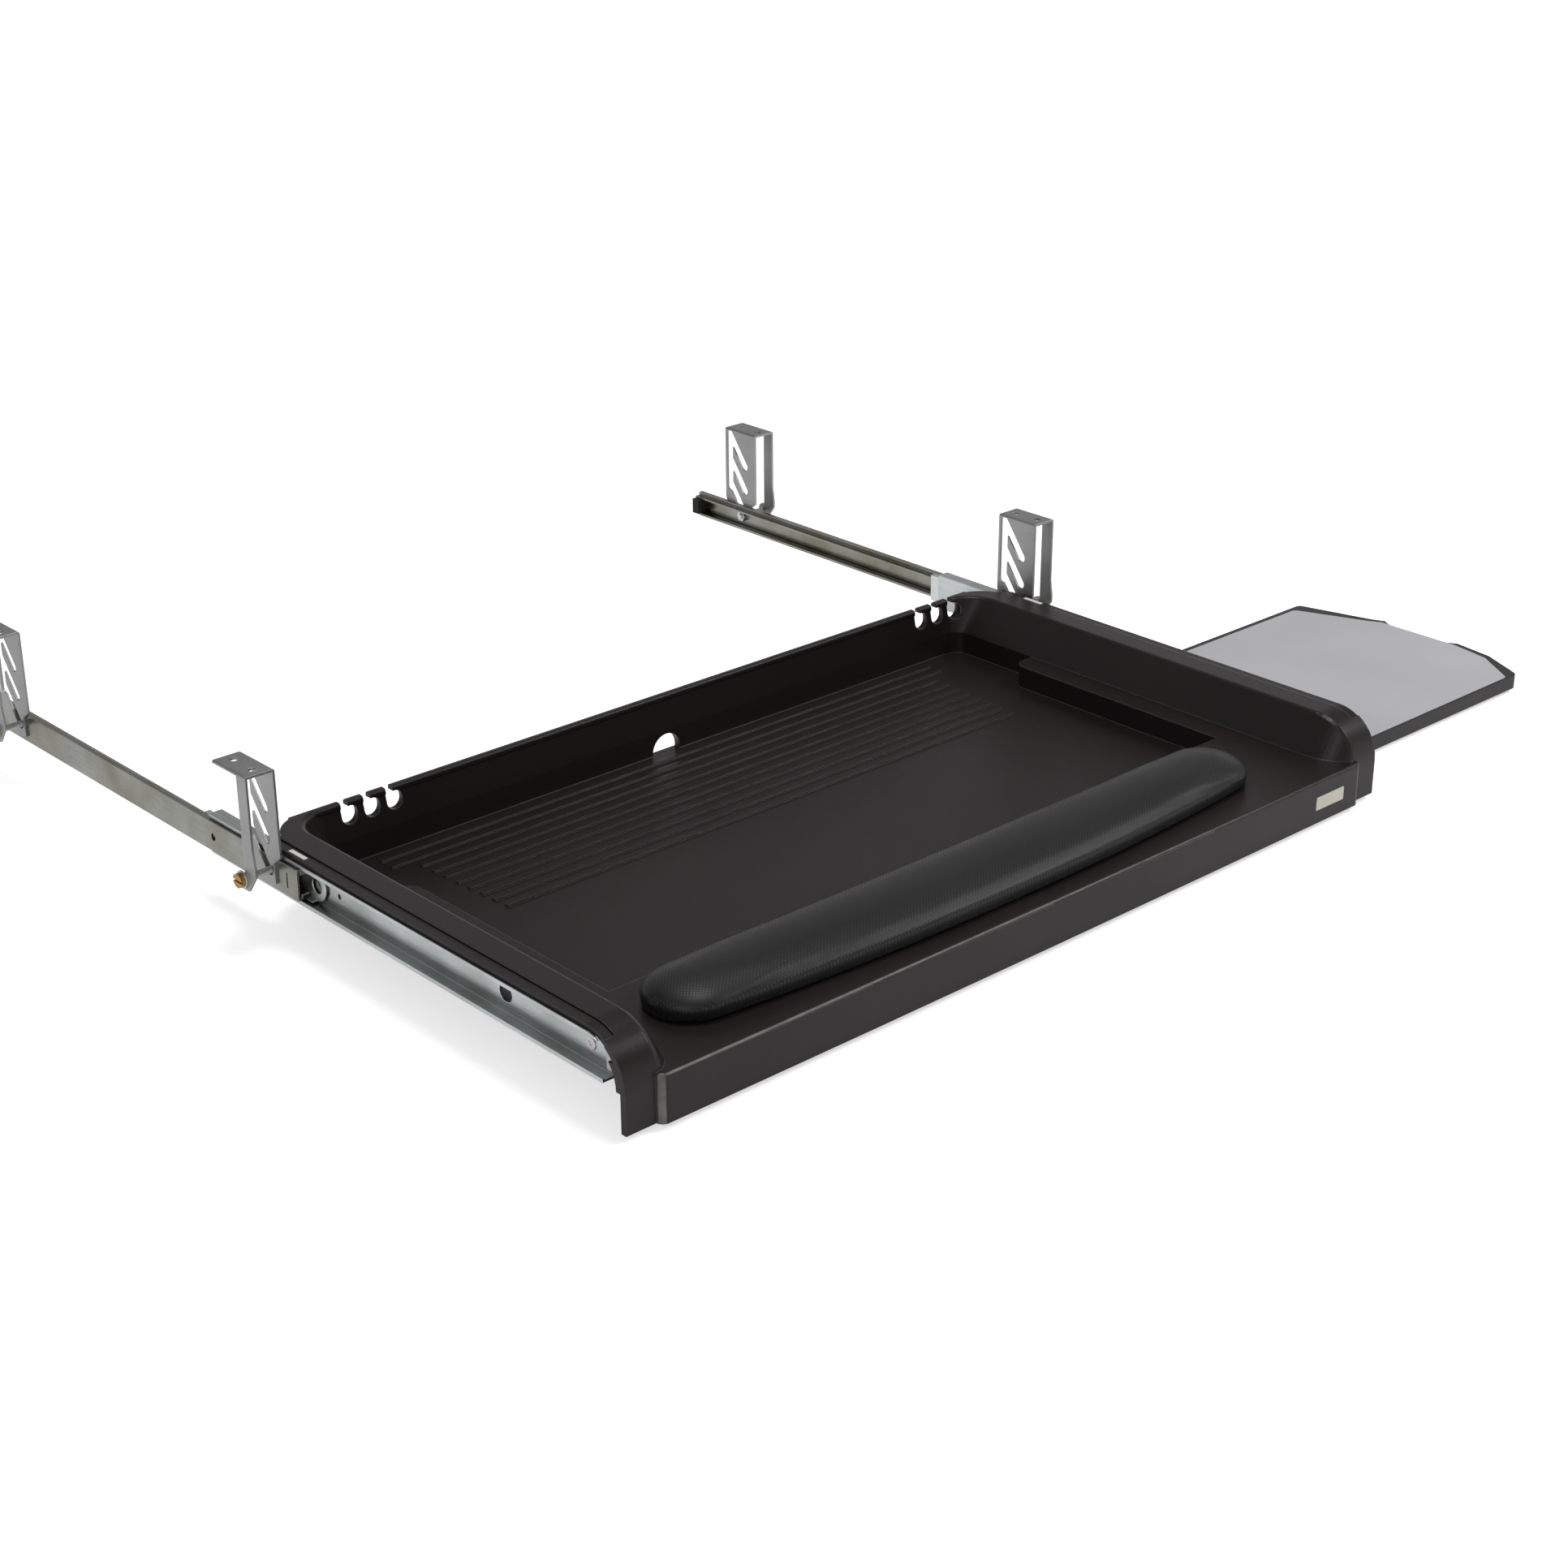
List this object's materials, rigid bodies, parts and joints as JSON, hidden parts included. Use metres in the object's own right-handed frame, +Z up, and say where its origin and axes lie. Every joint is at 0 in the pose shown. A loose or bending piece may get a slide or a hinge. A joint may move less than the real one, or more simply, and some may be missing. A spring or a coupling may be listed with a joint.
{
  "type": "under-desk keyboard drawer",
  "caption": "Pull-out keyboard tray on ball-bearing slides and comb brackets, with a padded wrist rest, cable hooks and a slide-out mouse platform.",
  "frame": {"origin": "on the underside of the desk, in the middle of the screw pattern of the four brackets", "axes": "+Z up into the desk, +Y to the back of the desk, +X to the user's right, where the mouse platform slides out"},
  "size_m": [0.8116, 0.6082, 0.0998],
  "materials": {
    "black_plastic": "fine moulded texture, slightly glossy on the rims",
    "platform_plastic": "fine moulded texture",
    "base_plastic": "plain moulded",
    "label_plastic": "bare satin plate",
    "pad_fabric": "close stretch fabric over a soft core",
    "zinc_steel": "bright zinc plated",
    "cage_steel": "bright pressed strip",
    "ball_steel": "polished",
    "screw_steel": "zinc plated",
    "bracket_steel": "satin zinc plated",
    "bolt_brass": "yellow passivated",
    "rail_steel": "black coated",
    "white_nylon": "natural nylon",
    "bumper_rubber": "soft rubber",
    "mat_surface": "fine low-friction surface"
  },
  "bodies": {
    "root": {"cabinet_member_left": "zinc_steel", "cabinet_member_right": "zinc_steel", "bracket_front_left": "bracket_steel", "bracket_front_right": "bracket_steel", "bracket_rear_left": "bracket_steel", "bracket_rear_right": "bracket_steel", "bracket_bolts": "bolt_brass", "bracket_washers": "screw_steel", "bracket_nuts": "screw_steel", "slide_bumpers": "bumper_rubber"},
    "tray": {"tray_shell": "black_plastic", "label_plate": "label_plastic", "wrist_rest_base": "base_plastic", "wrist_rest_pad": "pad_fabric", "drawer_member_left": "zinc_steel", "drawer_member_right": "zinc_steel", "slide_tabs": "white_nylon", "slide_screws": "screw_steel", "platform_rail_front": "rail_steel", "platform_rail_rear": "rail_steel", "platform_rail_screws": "screw_steel", "platform_stops": "white_nylon"},
    "cage_left": {"ball_cage_left": "cage_steel", "slide_balls_left": "ball_steel"},
    "cage_right": {"ball_cage_right": "cage_steel", "slide_balls_right": "ball_steel"},
    "platform": {"mouse_platform": "platform_plastic", "mouse_mat": "mat_surface"}
  },
  "joints": [
    {"name": "tray_slide", "type": "slide", "parent": "root", "child": "tray", "axis": [0, 1, 0], "range_m": [0, 0.246]},
    {"name": "cage_left_slide", "type": "slide", "parent": "root", "child": "cage_left", "axis": [0, 1, 0], "range_m": [0, 0.124]},
    {"name": "cage_right_slide", "type": "slide", "parent": "root", "child": "cage_right", "axis": [0, 1, 0], "range_m": [0, 0.124]},
    {"name": "platform_slide", "type": "slide", "parent": "tray", "child": "platform", "axis": [-1, 0, 0], "range_m": [0, 0.222]}
  ],
  "couplings": [
    {"joint": "cage_left_slide", "follows": "tray_slide", "ratio": 0.5},
    {"joint": "cage_right_slide", "follows": "tray_slide", "ratio": 0.5}
  ]
}
